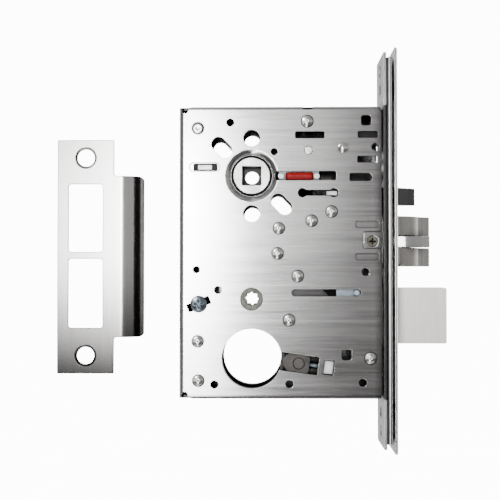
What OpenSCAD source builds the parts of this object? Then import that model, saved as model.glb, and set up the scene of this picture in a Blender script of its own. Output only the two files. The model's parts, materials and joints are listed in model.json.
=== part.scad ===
// Mortise lock with latchbolt, guard latch, deadbolt and a separate strike plate.
// Origin: centre of the armour front's outer face. +X leaves the door edge, +Y runs
// through the door's thickness to the cover side, +Z is up. Millimetres.

/* [Front] */
// Height of the armour front
front_h = 203.2; // [200:0.1:210]
// Width of the armour front, across the door's thickness
front_w = 31.8; // [30:0.1:36]
// Thickness of the armour front
armour_t = 1.6; // [1.2:0.1:2]

/* [Case] */
// Height of the case
case_h = 147.1; // [146:0.1:148]
// Width of the case box from its front edge to its rear wall
case_w = 101.8; // [101:0.1:103]
// Thickness of the case over both plates
case_t = 25.4; // [25.2:0.1:27]
// Sheet thickness of the case
plate_t = 1.5; // [1.3:0.1:1.5]
// Distance from the armour front's face to the hub and cylinder centres
backset = 73; // [72.6:0.1:73.4]

/* [Hubs and cylinder] */
// Height of the lever hub's centre
hub_z = 37.6; // [37.4:0.1:37.8]
// Width of the lever spindle's square hole
spindle_w = 9.5; // [8:0.1:9.6]
// Height of the turn hub's centre
turn_z = -24.5; // [-24.7:0.1:-24.3]
// Height of the cylinder hole's centre
cylinder_z = -54.4; // [-54.6:0.1:-54.2]
// Diameter of the cylinder hole
cylinder_d = 30; // [29.4:0.1:30]
// Distance of the round trim holes above and below the lever hub
trim_reach = 19.05; // [18.9:0.05:19.2]

/* [Bolts] */
// How far the latchbolt stands out of the front
latch_throw = 19.05; // [17:0.05:19.1]
// Height of the latchbolt's head
latch_h = 25.6; // [24:0.1:25.8]
// Height of the latchbolt's centre line
latch_z = 4.7; // [4.6:0.1:4.8]
// Width of the latchbolt and deadbolt across the door's thickness
bolt_w = 15.8; // [14:0.1:16]
// How far the deadbolt stands out of the front
deadbolt_throw = 25.4; // [25:0.1:25.6]
// Height of the deadbolt
deadbolt_h = 28.2; // [26:0.1:28.4]
// Height of the deadbolt's centre line
deadbolt_z = -32.9; // [-33:0.1:-32.8]
// How far the guard latch stands out of the front
guard_reach = 11; // [10.5:0.1:12]
// Height of the guard latch
guard_h = 8.8; // [8:0.1:9]

/* [Strike] */
// Height of the strike plate
strike_h = 123.8; // [122:0.1:126]
// Width of the strike plate without its lip
strike_w = 30.1; // [29:0.1:32]
// Reach of the strike's curved lip
strike_lip = 15.6; // [14:0.1:18]
// Thickness of the strike plate
strike_t = 1.6; // [1.4:0.1:2]
// Distance between the strike's two screw holes
strike_pitch = 104.8; // [104:0.1:106]

/* [Hidden] */
$fn = 64;
// clearance of parts that slide or turn in each other
run = 0.06;
// clearance of parts that are riveted or screwed together
snug = 0.02;
over = 1;

// front stack, from the outer face inwards
armour_gap = 0.7;
channel_t = 3.3;
inner_t = 1.5;
channel_x = -armour_t - armour_gap;
inner_x = channel_x - channel_t;
front_back = inner_x - inner_t;
channel_h = front_h - 9.8;
inner_h = front_h - 4.8;
mount_screw_reach = 92.1;
armour_screw_reach = 82.55;

// case box
case_x1 = front_back - 0.6;
case_x0 = case_x1 - case_w;
case_z1 = 72.6;
case_z0 = case_z1 - case_h;
y_out = case_t / 2;
y_in = y_out - plate_t;
rear_bend = 2.3;
end_bend = 1.8;
relief_r = 1.6;
relief_x = case_x0 + 2.9;
relief_depth = 4;
front_corner_w = 1.6;
front_corner_h = 3.6;

hub_x = -backset;
hub_journal_r = 9.2;
hub_disc_r = 10;
hub_lobe_r = 14.3;
hub_bush_r = 10.35;
hub_dish_r = 13.5;
hub_dish_depth = 1.2;
turn_journal_r = 5.65;

// retractor lever: pivot, and the crosshead that its fork pulls back
lever_x = -27;
lever_z = 51.6;
cross_x = -22;
latch_back = -13.5;
lever_y0 = 5.2;
lever_y1 = 7.7;
foot_x = -59.4;
foot_z = 36.6;
foot_r = 2.2;

// guard latch and deadlock lever
guard_z = 27.8;
guard_w = 10;
guard_back = -20;
lock_lever_x = -44.3;
lock_lever_z = 50.4;
guard_stud_x = -39.3;
guard_stud_z = 30.5;

// deadbolt drive: crank radius that turns a quarter turn into the full throw
crank_r = deadbolt_throw / sqrt(2);
deadbolt_back = -24;
shoe_x = -20.2;
shoe_z = -21.3;
tail_y0 = 4;
tail_y1 = 7;

// cylinder clamp: it slides along a line tilted down towards the front
clamp_tilt = 7.9;
clamp_x = -49.4;
clamp_z = -56.7;
clamp_w = 8.7;
clamp_screw_y = -8.6;
clamp_rivet_r = 2.65;

// locking slide
lock_slide_z = 37.4;

// riveted posts that hold the two plates apart, as [x, z]
POSTS = [[-100.1, 61.6], [-45, 65], [-100.1, -45.7], [-99.8, -65.4], [-13.4, -54], [-54.2, -35]];
// short rivets that hold the latch guide to the near plate
GUIDE_RIVETS = [[-32.8, 19.5], [-42.8, 14.9], [-59.3, 11.1], [-59.9, -1.5], [-49.8, -12.9]];
// tooling and spare-function holes in the near plate, as [x, z, diameter]
PLATE_HOLES = [[-83.8, 64.5, 4], [-61.6, 49.7, 3.5], [-100.8, -9.7, 3.6], [-15.9, -10.9, 4],
               [-89.9, -19.9, 4], [-91.7, -67.3, 4], [-54, -67, 4.1], [-17.4, -66.3, 4.1],
               [-10.8, 52, 4]];
// rectangular openings in the near plate, as [x0, x1, z0, z1, corner radius]
PLATE_SLOTS = [[-51.1, -36.3, 56.4, 59.9, 0.8], [-19.7, -9.5, 56.6, 60, 0.8], [-19.9, -9.5, 44.1, 47.5, 0.8],
               [-61.2, -30.5, 35.3, 39.9, 0.8], [-102.3, -90.3, 40.1, 43.8, 0.6],
               [-18, -13, 62.8, 68, 1.3], [-28, -22.9, -55.1, -49.7, 1.3]];

// ---------------------------------------------------------------- helpers

// box between two corners
module box(x0, x1, y0, y1, z0, z1) {
    translate([x0, y0, z0]) cube([x1 - x0, y1 - y0, z1 - z0]);
}

// round bar along Y
module bar_y(x, z, r, y0, y1) {
    translate([x, y1, z]) rotate([90, 0, 0]) cylinder(r = r, h = y1 - y0);
}

// round bar along X
module bar_x(x0, x1, y, z, r) {
    translate([x0, y, z]) rotate([0, 90, 0]) cylinder(r = r, h = x1 - x0);
}

// flat outline in the XZ plane, thickened from y0 to y1
module plate_y(y0, y1) {
    translate([0, y1, 0]) rotate([90, 0, 0]) linear_extrude(y1 - y0) children();
}

// strip of width w with round ends through a row of points; its straight sides lie a
// hair inside the end circles, so that they cross them and don't just touch
module chain(points, w) {
    side = w - 0.04;
    for (p = points) translate(p) circle(d = w);
    for (i = [1:len(points) - 1])
        let (a = points[i - 1], step = points[i] - a)
        translate(a) rotate(atan2(step[1], step[0])) translate([0, -side / 2]) square([norm(step), side]);
}

// straight strip between two points
module strip(ax, az, bx, bz, w) {
    chain([[ax, az], [bx, bz]], w);
}

// rectangle with round corners, made of true arcs
module round_rect(x0, x1, z0, z1, r) {
    translate([x0 + r, z0]) square([x1 - x0 - 2 * r, z1 - z0]);
    translate([x0, z0 + r]) square([x1 - x0, z1 - z0 - 2 * r]);
    for (x = [x0 + r, x1 - r], z = [z0 + r, z1 - r]) translate([x, z]) circle(r = r);
}

// low domed rivet head on a face at y, standing out along side (-1 near, +1 far)
module dome(x, z, r, h, y, side) {
    ball_r = (r * r + h * h) / (2 * h);
    intersection() {
        translate([x, y + side * (h - ball_r), z]) sphere(r = ball_r);
        bar_y(x, z, r, min(y, y + side * h), max(y, y + side * h));
    }
}

// cross recess of a driver, cut inwards from a face at y = 0 along +Y
module cross_recess(width, depth) {
    for (turn = [0, 90]) rotate([0, turn, 0]) translate([-width / 2, -over, -width / 9])
        cube([width, depth + over, width / 4.5]);
}

// coil of round wire along +Z, as rings of points that follow a helix
module coil(r, wire_r, length, turns, steps = 12, sides = 6) {
    count = round(turns * steps);
    points = [for (i = [0:count], j = [0:sides - 1])
        let (a = 360 * turns * i / count, b = 360 * j / sides, d = r + wire_r * cos(b))
        [d * cos(a), d * sin(a), wire_r + (length - 2 * wire_r) * i / count + wire_r * sin(b)]];
    walls = [for (i = [0:count - 1], j = [0:sides - 1])
        let (k = (j + 1) % sides) [i * sides + j, (i + 1) * sides + j, (i + 1) * sides + k, i * sides + k]];
    first = [[for (j = [0:sides - 1]) j]];
    last = [[for (j = [sides - 1:-1:0]) count * sides + j]];
    polyhedron(points, concat(walls, first, last), convexity = 10);
}

// ---------------------------------------------------------------- openings

// clamp frame: local X runs away from the cylinder along the clamp's slide
module along_clamp() {
    translate([clamp_x, 0, clamp_z]) rotate([0, clamp_tilt, 0]) children();
}

// openings that go through both plates
module shared_openings(y0, y1) {
    bar_y(hub_x, hub_z, hub_bush_r, y0, y1);
    bar_y(hub_x, turn_z, turn_journal_r + run, y0, y1);
    bar_y(hub_x, cylinder_z, cylinder_d / 2, y0, y1);
    for (side = [-1, 1]) bar_y(hub_x, hub_z + side * trim_reach, 4.2, y0, y1);
    for (side = [-1, 1]) plate_y(y0, y1)
        strip(hub_x + side * 13.4, hub_z - side * 12.6, hub_x + side * 16.7, hub_z - side * 16, 7.4);
    for (p = POSTS) bar_y(p[0], p[1], 1.6 + snug, y0, y1);
    bar_y(lever_x, lever_z, 1.6 + snug, y0, y1);
}

// shallow dish round the lever hub's bushing, with a rim that rolls smoothly inwards
module hub_dish(side) {
    roll = hub_dish_r - hub_bush_r - 0.3;
    rim_r = (roll * roll + hub_dish_depth * hub_dish_depth) / (2 * hub_dish_depth);
    translate([hub_x, side * y_out, hub_z]) rotate([side * 90, 0, 0]) rotate_extrude()
        difference() {
            translate([0, -over]) square([hub_dish_r, over + hub_dish_depth]);
            translate([hub_dish_r, rim_r]) circle(r = rim_r);
        }
}

// driver-side openings of the near plate only
module near_openings(y0, y1) {
    for (p = GUIDE_RIVETS) bar_y(p[0], p[1], 1.5 + snug, y0, y1);
    for (h = PLATE_HOLES) bar_y(h[0], h[1], h[2] / 2, y0, y1);
    for (s = PLATE_SLOTS) plate_y(y0, y1) round_rect(s[0], s[1], s[2], s[3], s[4]);
    bar_y(lock_lever_x, lock_lever_z, 2.2 + snug, y0, y1);
    // guard window with a round relief at each end
    plate_y(y0, y1) strip(-47.4, 28.95, -31.6, 28.95, 2.9);
    for (x = [-47.4, -31.6]) bar_y(x, 28.95, 2.3, y0, y1);
    // slot for the deadbolt's guide stud
    plate_y(y0, y1) strip(-51.2, -21.3, -19.9, -21.3, 3.6);
    // spare slot with one rounder end
    plate_y(y0, y1) {
        round_rect(-23.8, -15, 34.8, 38.9, 0.9);
        strip(-17, 36.85, -14.45, 36.85, 4.1);
    }
    // window of the cylinder clamp, open into the cylinder hole
    along_clamp() box(-13, 9.9, y0, y1, -4.6, 4.6);
    // tilted window over the clamp block
    along_clamp() box(12.6, 17.8, y0, y1, -3.8, 3.8);
    // tilted slot under the handing screw
    translate([-99.6, 0, -27]) rotate([0, -23, 0]) plate_y(y0, y1) round_rect(-6, 6, -2, 2, 0.3);
    // notch in the front edge for the side lug
    plate_y(y0, y1) round_rect(-17.3, case_x1 + 3, 0.7, 9.6, 1.5);
}

// openings for the three bolts through the front, cut from x0 to x1
module bolt_openings(x0, x1) {
    gap = 0.25;
    half = bolt_w / 2 + gap;
    box(x0, x1, -half, half, latch_z - latch_h / 2 - gap, latch_z + latch_h / 2 + gap);
    box(x0, x1, -half, half, deadbolt_z - deadbolt_h / 2 - gap, deadbolt_z + deadbolt_h / 2 + gap);
    guard_half = guard_w / 2 + gap;
    box(x0, x1, -guard_half, guard_half, guard_z - guard_h / 2 - gap, guard_z + guard_h / 2 + gap);
}

// ---------------------------------------------------------------- case

// near plate with its rear, top and bottom walls folded over to the cover
module case_pan() {
    wall_end = y_in - snug;
    color("lightgray") difference() {
        union() {
            // flat plate
            box(case_x0 + rear_bend, case_x1, -y_out, -y_in, case_z0 + end_bend, case_z1 - end_bend);
            // rear wall and its bend
            box(case_x0, case_x0 + plate_t, -y_out + rear_bend, wall_end, case_z0, case_z1);
            translate([case_x0 + rear_bend, -y_out + rear_bend, case_z0]) linear_extrude(case_h)
                quarter_bend(rear_bend);
            // top and bottom walls and their bends
            for (end = [0, 1]) translate([0, 0, end * (case_z0 + case_z1)]) mirror([0, 0, end]) {
                box(case_x0, case_x1, -y_out + end_bend, wall_end, case_z0, case_z0 + plate_t);
                translate([case_x0 + rear_bend, -y_out + end_bend, case_z0 + end_bend]) rotate([90, 0, 90])
                    linear_extrude(case_w - rear_bend) quarter_bend(end_bend);
            }
        }
        shared_openings(-y_out - over, -y_in + 0.4);
        near_openings(-y_out - over, -y_in + 0.4);
        hub_dish(-1);
        // pressed recess round the hub stop's window
        plate_y(-y_out - over, -y_out + 0.5) strip(-102.2, 42, -91.2, 42, 4.8);
        // two pressed tab marks beside the side lug
        for (z = [13, -3.2]) plate_y(-y_out - over, -y_out + 0.45) round_rect(-21, -9, z - 1.9, z + 1.9, 1.2);
        for (end = [0, 1]) translate([0, 0, end * (case_z0 + case_z1)]) mirror([0, 0, end]) corner_cuts();
        // notch in the top edge
        box(-47.2, -42.4, -y_out - over, -y_out + 3, case_z1 - 1.6, case_z1 + over);
    }
}

// cuts at the pan's lower corners: a round relief beside the rear bend and a slope at the front edge
module corner_cuts() {
    slope = front_corner_h / front_corner_w;
    plate_y(-y_out - over, -y_out + relief_depth) {
        translate([relief_x, case_z0 + relief_r + 0.3]) circle(r = relief_r);
        // mouth of the relief, and the end wall's sloping start
        polygon([[relief_x - 0.9, case_z0 + relief_r], [relief_x - 0.9, case_z0 - over],
            [relief_x + 5, case_z0 - over], [relief_x + 4.4, case_z0], [relief_x + 0.9, case_z0 + 0.8],
            [relief_x + 0.9, case_z0 + relief_r]]);
        polygon([[case_x1 - front_corner_w - over / slope, case_z0 - over],
            [case_x1 + over, case_z0 + front_corner_h + over * slope], [case_x1 + over, case_z0 - over]]);
    }
    // the rear wall ends a little short
    box(case_x0 - over, relief_x - 0.8, -y_out - over, -y_out + relief_depth, case_z0 - over, case_z0 + 0.6);
}

// quarter ring that joins two sheets, bent about the origin
module quarter_bend(r) {
    intersection() {
        difference() {
            circle(r = r);
            circle(r = r - plate_t);
        }
        translate([-r, -r]) square(r);
    }
}

// flat cover plate on the far side
module case_cover() {
    color("silver") difference() {
        plate_y(y_in, y_out) round_rect(case_x0, case_x1, case_z0, case_z1, 1);
        shared_openings(y_in - 0.4, y_out + over);
        hub_dish(1);
        plate_y(y_in - 0.4, y_out + over) round_rect(-102.3, -90.3, 40.1, 43.8, 0.6);
        plate_y(y_in - 0.4, y_out + over) round_rect(-17.3, case_x1 + 3, 0.7, 9.6, 1.5);
    }
}

// spacer posts with a domed head spun over at each end
module case_posts() {
    color("whitesmoke") for (p = POSTS) {
        bar_y(p[0], p[1], 2.5, -y_in + snug, y_in - snug);
        bar_y(p[0], p[1], 1.6, -y_out - 0.1, y_out + 0.1);
        // the first post is dressed nearly flat
        head_h = p == POSTS[0] ? 0.3 : 1;
        for (side = [-1, 1]) dome(p[0], p[1], 3.15, head_h, side * (y_out + snug), side);
    }
}

// short rivets that hold the latch guide to the near plate
module guide_rivets() {
    color("whitesmoke") for (p = GUIDE_RIVETS) {
        bar_y(p[0], p[1], 1.5, -y_out - 0.1, -y_in + 1.9);
        dome(p[0], p[1], 3.1, 0.9, -y_out - snug, -1);
        bar_y(p[0], p[1], 2.4, -y_in + 1.2 + snug, -y_in + 1.9);
    }
}

// ---------------------------------------------------------------- front

// one plate of the front with the bolt openings
module front_plate(x0, x1, width, height) {
    difference() {
        box(x0, x1, -width / 2, width / 2, -height / 2, height / 2);
        bolt_openings(x0 - over, x1 + over);
        for (side = [-1, 1])
            bar_x(x0 - over, x1 + over, 0, side * armour_screw_reach, x1 > inner_x ? 2.3 : 3.1);
    }
}

// inner front, fixed to the case, with the mounting screw holes
module inner_front() {
    color("silver") difference() {
        front_plate(front_back, inner_x, front_w, inner_h);
        for (side = [-1, 1]) bar_x(front_back - over, inner_x + over, 0, side * mount_screw_reach, 3.5);
        for (z = [66, -67.2]) {
            bar_x(front_back - over, inner_x + over, 0, z, 2.1 + snug);
            translate([inner_x - 1.2, 0, z]) rotate([0, 90, 0]) cylinder(r1 = 2.1 + snug, r2 = 3.6, h = 1.21);
        }
        bar_x(front_back - over, inner_x + over, clamp_screw_y, clamp_z - 5.9, 2.6);
    }
}

// formed channel between the inner and the armour front, with round long edges
module front_channel() {
    edge = channel_t / 2;
    half = front_w / 2;
    color("gainsboro") difference() {
        union() {
            box(inner_x, channel_x, -half + edge, half - edge, -channel_h / 2, channel_h / 2);
            for (y = [-half + edge, half - edge])
                translate([inner_x + edge, y, -channel_h / 2]) cylinder(r = edge, h = channel_h);
        }
        bolt_openings(inner_x - over, channel_x + over);
        for (side = [-1, 1]) bar_x(inner_x - over, channel_x + over, 0, side * armour_screw_reach, 2 + snug);
        for (side = [-1, 1]) bar_x(inner_x - over, channel_x + over, 0, side * mount_screw_reach, 5);
        for (z = [66, -67.2]) bar_x(inner_x - over, channel_x + over, 0, z, 3.7);
    }
}

// outer armour plate, countersunk for its two screws
module armour_front() {
    color("lightgray") difference() {
        front_plate(-armour_t, 0, front_w, front_h);
        for (side = [-1, 1]) translate([-armour_t, 0, side * armour_screw_reach]) rotate([0, 90, 0])
            cylinder(r1 = 2.3, r2 = 4.1, h = armour_t + 0.01);
    }
    // two pads that keep the armour plate off the channel
    color("dimgray") for (side = [-1, 1]) difference() {
        bar_x(channel_x, -armour_t, 0, side * armour_screw_reach, 5);
        bar_x(channel_x - over, over, 0, side * armour_screw_reach, 2.3);
    }
}

// flat-head screws that hold the armour front to the channel
module armour_screws() {
    color("silver") for (side = [-1, 1]) translate([0, 0, side * armour_screw_reach]) difference() {
        union() {
            bar_x(front_back + 0.6, -armour_t + 0.2, 0, 0, 2);
            translate([-armour_t, 0, 0]) rotate([0, 90, 0]) cylinder(r1 = 2.26, r2 = 4, h = armour_t - 0.05);
        }
        for (turn = [0, 90]) rotate([turn, 0, 0]) translate([-1.1, -1.9, -0.45]) cube([over * 2, 3.8, 0.9]);
    }
}

// two brackets inside the case that the inner front is screwed to
module front_brackets() {
    foot = 3.4;
    depth = y_in - 0.2;
    color("darkgray") difference() {
        union() {
            box(front_back - foot, front_back, -depth, depth, 55, case_z1 - plate_t - 0.2);
            box(front_back - 13, front_back, -depth, -depth + 2, 55.5, 61);
            box(front_back - 13, front_back, depth - 2, depth, 55.5, 61);
            box(front_back - foot, front_back, -depth, depth, case_z0 + plate_t + 0.2, -65);
        }
        for (z = [66, -67.2]) bar_x(front_back - foot - over, front_back + over, 0, z, 1.9 + snug);
    }
}

// flat-head screws of the two brackets
module bracket_screws() {
    color("silver") for (z = [66, -67.2]) difference() {
        union() {
            bar_x(front_back - 5.5, inner_x - 0.6, 0, z, 1.9);
            translate([inner_x - 1.2, 0, z]) rotate([0, 90, 0]) cylinder(r1 = 2.05, r2 = 3.5, h = 1.15);
        }
        for (turn = [0, 90]) translate([0, 0, z]) rotate([turn, 0, 0])
            translate([inner_x - 0.8, -1.6, -0.4]) cube([over * 2, 3.2, 0.8]);
    }
}

// lugs folded back from the inner front, one on each side of the case
module side_lugs() {
    color("lightsteelblue") for (side = [-1, 1]) scale([1, -side, 1]) difference() {
        union() {
            plate_y(-y_out + 0.1, -y_in) round_rect(-17, front_back, 1, 9.3, 1.3);
            box(-12, front_back, -y_out + 0.1, -y_in, 1, 9.3);
            box(case_x1 + 0.05, front_back, -y_out + 0.1, -y_in + 1, -7.2, 16.6);
        }
        bar_y(-12.3, 4.5, 1.7, -y_out - over, -y_in + over);
        // countersink of the lug screw
        translate([-12.3, -y_out + 0.09, 4.5]) rotate([-90, 0, 0]) cylinder(r1 = 2.9, r2 = 1.7, h = 1);
    }
}

// tapped blocks behind the lugs, fixed inside each plate
module lug_blocks() {
    color("gray") for (side = [-1, 1]) scale([1, -side, 1]) difference() {
        box(-21, -8, -y_in + snug, -y_in + 2.9, -1.5, 11.5);
        bar_y(-12.3, 4.5, 1.5 + snug, -y_out - over, 0);
        box(case_x1 - 0.5, 0, -y_in - over, -y_in + 1.1, -8, 17);
    }
}

// cross-recessed screws of the lugs
module lug_screws() {
    color("lightsteelblue") for (side = [-1, 1]) scale([1, -side, 1]) difference() {
        union() {
            bar_y(-12.3, 4.5, 1.5, -y_out + 0.5, -y_in + 2.8);
            translate([-12.3, -y_out + 0.05, 4.5]) rotate([-90, 0, 0]) cylinder(r1 = 2.8, r2 = 1.6, h = 1);
        }
        translate([-12.3, -y_out + 0.05, 4.5]) cross_recess(3.4, 0.9);
    }
}

// ---------------------------------------------------------------- lever hubs

// one lever hub: journal, disc, driving lobe and spindle socket; side -1 near, +1 far
module lever_hub(side) {
    gap = 0.4;
    web = 3;
    flank = -15.8;
    translate([hub_x, 0, hub_z]) scale([1, side, 1]) difference() {
        union() {
            bar_y(0, 0, hub_journal_r, y_in - over, y_out - 0.1);
            bar_y(0, 0, hub_disc_r, gap, 5);
            bar_y(0, 0, 9, 4.9, y_in - 0.1);
            // driving lobe
            intersection() {
                bar_y(0, 0, hub_lobe_r, gap, 5);
                plate_y(gap, 5) polygon([[0, 0], [20 * cos(flank), 20 * sin(flank)],
                    [20 * cos(flank - 15), 20 * sin(flank - 15)]]);
            }
        }
        box(-spindle_w / 2, spindle_w / 2, gap + web, y_out + over, -spindle_w / 2, spindle_w / 2);
        bar_y(0, 0, 3.45, -over, y_out + over);
    }
}

module near_hub() {
    color("gainsboro") lever_hub(-1);
}

module far_hub() {
    color("gainsboro") lever_hub(1);
}

// bearing rings of the hubs in the two plates
module hub_bushings() {
    color("dimgray") for (side = [-1, 1]) scale([1, side, 1]) difference() {
        union() {
            bar_y(hub_x, hub_z, hub_bush_r - snug, y_in - 0.1, y_out - 1.3);
            bar_y(hub_x, hub_z, 11.8, y_in - 0.8, y_in - snug);
        }
        bar_y(hub_x, hub_z, hub_journal_r + run, 0, y_out + over);
    }
}

// washer between the two hubs
module hub_spacer() {
    color("goldenrod") difference() {
        bar_y(hub_x, hub_z, 8, -0.3, 0.3);
        bar_y(hub_x, hub_z, 3.6, -over, over);
    }
}

// fixed stop plate behind the hubs, with a tab in the window of each plate
module hub_stop() {
    color("gainsboro") {
        box(-104, -89, -y_in + 0.1, -y_in + 2, 36, 48);
        box(-104, -89, y_in - 2, y_in - 0.1, 36, 48);
        box(-104, -101.5, -y_in + 0.1, y_in - 0.1, 36, 48);
        for (side = [-1, 1]) scale([1, -side, 1]) box(-100.2, -92.9, -y_out + 0.5, -y_in + 1, 40.7, 43.2);
    }
}

// torsion spring round a hub's neck
module hub_spring(side) {
    wire = 0.55;
    start = 8.1;
    translate([hub_x, 0, hub_z]) scale([1, side, 1]) {
        translate([0, start, 0]) rotate([-90, 0, 0]) coil(10.6, wire, 2.2, 1.6);
    }
}

module near_hub_spring() {
    color("silver") hub_spring(-1);
}

module far_hub_spring() {
    color("silver") hub_spring(1);
}

// bell-crank lever: the hubs lift its foot and its fork pulls the latch back
module retractor_lever() {
    color("silver") {
        difference() {
            plate_y(lever_y0, lever_y1) {
                strip(lever_x, lever_z, foot_x, foot_z, 5.4);
                strip(lever_x, lever_z, cross_x - 0.1, 7.5, 5.8);
                strip(cross_x - 3.1, 7.5, cross_x - 3.2, 2.6, 1.9);
                strip(cross_x + 3.0, 7.5, cross_x + 3.2, 2.6, 1.9);
                translate([lever_x, lever_z]) circle(r = 5);
            }
            bar_y(lever_x, lever_z, 2.5 + run, 0, y_in);
            plate_y(lever_y0 - over, lever_y1 + over) translate([cross_x - 2.3, -2]) square([4.6, 12.3]);
        }
        // cross pin of the foot, over both hubs' lobes
        bar_y(foot_x, foot_z, foot_r, -5, lever_y0);
    }
}

// fixed pivot of the retractor lever, riveted into both plates
module retractor_pivot() {
    color("whitesmoke") {
        bar_y(lever_x, lever_z, 2.5, -y_in + snug, y_in - snug);
        bar_y(lever_x, lever_z, 1.6, -y_out - 0.1, y_out + 0.1);
        for (side = [-1, 1]) dome(lever_x, lever_z, 2.75, 0.8, side * (y_out + snug), side);
        bar_y(lever_x, lever_z, 4.5, 2.5, lever_y0 - 0.1);
    }
}

// ---------------------------------------------------------------- latchbolt

// bevelled outline of the latch head in plan: flat far side, curved near side
module latch_plan(tip_x) {
    half = bolt_w / 2;
    root = 1.2;
    bend = 13;
    polygon(concat([[latch_back, -half], [root, -half]],
        [for (i = [1:10]) let (t = i / 10)
            [root + (bend - root) * t, -half + half * 1.15 * t * t]],
        [[tip_x - 0.8, half - 2.4], [tip_x, half - 1.2], [tip_x, half], [latch_back, half]]));
}

// latch head: two horns joined behind the tongue's slot
module latchbolt() {
    z0 = latch_z - latch_h / 2;
    slot_z0 = 1.5;
    slot_z1 = 7.5;
    color("silver") difference() {
        translate([0, 0, z0]) linear_extrude(latch_h) latch_plan(latch_throw);
        box(-10, latch_throw + over, -bolt_w, bolt_w, slot_z0, slot_z1);
        // bore of the tongue's pin
        translate([-5.5, 3, z0 + 4]) cylinder(r = 1.6 + snug, h = latch_h - 8);
        // bore that holds the tail rod
        bar_x(latch_back - over, -10.5, 0, latch_z, 2 + snug);
        // shallow steps that thin the horns near the front
        box(1.2, 3.2, -bolt_w, -bolt_w / 2 + 0.6, z0 - over, z0 + 1.2);
    }
}

// tail rod with the crosshead and the spring's shoulder
module latch_tail() {
    color("gray") {
        bar_x(-50, -10.6, 0, latch_z, 2);
        bar_y(cross_x, latch_z, 2.05, -8.2, 8.2);
        bar_x(cross_x - 4.4, cross_x - 2.6, 0, latch_z, 4.9);
    }
}

// compression spring between the crosshead and the latch guide
module latch_spring() {
    color("silver") translate([-51.9, 0, latch_z]) rotate([0, 90, 0]) coil(3.7, 0.4, 25.3, 7);
}

// anti-friction tongue, pivoted between the horns
module latch_tongue() {
    color("gainsboro") translate([0, 0, 1.7]) difference() {
        linear_extrude(5.6) {
            translate([-5.5, 3]) circle(r = 3.8);
            polygon(concat([[-5.5, 6.8], [-7.9, 0], [-3, -7.7], [4.6, -7.7]],
                [for (i = [1:8]) let (t = i / 8) [4.6 + 11.4 * t, -7.7 + 5.4 * t * t]],
                [[18.1, -0.4], [18.2, 1.2], [10, 3.2]]));
        }
        translate([-5.5, 3, -over]) cylinder(r = 1.6 + run, h = 8);
    }
}

// pivot pin of the tongue
module tongue_pin() {
    color("gray") translate([-5.5, 3, latch_z - latch_h / 2 + 4.1]) cylinder(r = 1.6, h = latch_h - 8.2);
}

// guide riveted to the near plate, with an upright seat for the latch spring
module latch_guide() {
    flat0 = -y_in + snug;
    flat1 = -y_in + 1.2;
    color("darkgray") difference() {
        union() {
            plate_y(flat0, flat1) {
                chain(GUIDE_RIVETS, 7);
                round_rect(-60, -50, -2, 12, 1);
            }
            box(-54, -52, flat0, y_in - 0.2, latch_z - 5.6, latch_z + 5.6);
        }
        for (p = GUIDE_RIVETS) bar_y(p[0], p[1], 1.5 + snug, -y_out, 0);
        bar_x(-56, -50, 0, latch_z, 2 + run);
    }
}

// ---------------------------------------------------------------- guard latch

// small latch above the latchbolt that feels for the strike plate
module guard_latch() {
    half = guard_w / 2;
    color("dimgray") difference() {
        translate([0, 0, guard_z - guard_h / 2]) linear_extrude(guard_h)
            polygon([[guard_back, -half], [0.5, -half], [guard_reach - 3.2, 0.6],
                [guard_reach - 0.5, half - 3], [guard_reach, half - 2], [guard_reach, half - 0.6],
                [guard_reach - 0.6, half], [guard_back, half]]);
        bar_x(guard_back - over, guard_back + 6, 0, guard_z, 1.6 + snug);
    }
}

// rod, side plate, window tab and drive stud of the guard latch
module guard_tail() {
    plate_y0 = -7.7;
    plate_y1 = -6.3;
    color("gainsboro") {
        bar_x(-44, guard_back + 5.9, 0, guard_z, 1.6);
        box(-42, guard_back - 0.05, plate_y0, plate_y1, 24.4, 32.4);
        box(guard_back - 2.05, guard_back - 0.05, plate_y0, 4.8, 24.4, 31.2);
        box(-35.3, -30, -y_out + 0.8, plate_y0 + 0.1, 27.7, 29.85);
        bar_y(guard_stud_x, guard_stud_z, 1.3, -9.4, plate_y0 + 0.1);
    }
}

// spring that pushes the guard latch out
module guard_spring() {
    color("silver") translate([-49.1, 0, guard_z]) rotate([0, 90, 0]) coil(3, 0.4, 27, 9);
}

// angle fixed to the cover that carries the guard spring
module guard_bracket() {
    color("darkgray") difference() {
        union() {
            box(-50.8, -49.2, -5, y_in - snug, 22.4, 33.2);
            box(-50.8, -43.5, y_in - 1.4, y_in - snug, 22.4, 33.2);
        }
        bar_x(-52, -48, 0, guard_z, 1.6 + run);
    }
}

// lever that the guard latch swings behind the latchbolt
module deadlock_lever() {
    color("gainsboro") difference() {
        plate_y(-9.3, -8) {
            strip(lock_lever_x, lock_lever_z, guard_stud_x, guard_stud_z + 0.5, 5);
            strip(guard_stud_x, guard_stud_z, guard_stud_x + 0.5, 28.4, 3.4);
            translate([lock_lever_x, lock_lever_z]) circle(r = 4.2);
        }
        bar_y(lock_lever_x, lock_lever_z, 2.2 + run, -y_in, 0);
        plate_y(-10, -7)
            strip(guard_stud_x - 0.25, guard_stud_z + 1.2, guard_stud_x + 0.15, guard_stud_z - 0.5, 3);
    }
}

// stub pivot of the deadlock lever, riveted to the near plate
module deadlock_pivot() {
    color("whitesmoke") {
        bar_y(lock_lever_x, lock_lever_z, 2.2, -y_out - 0.1, -7.8);
        bar_y(lock_lever_x, lock_lever_z, 3.4, -7.85, -7);
        bar_y(lock_lever_x, lock_lever_z, 3.2, -y_in + snug, -9.4);
    }
}

// ---------------------------------------------------------------- deadbolt

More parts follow.
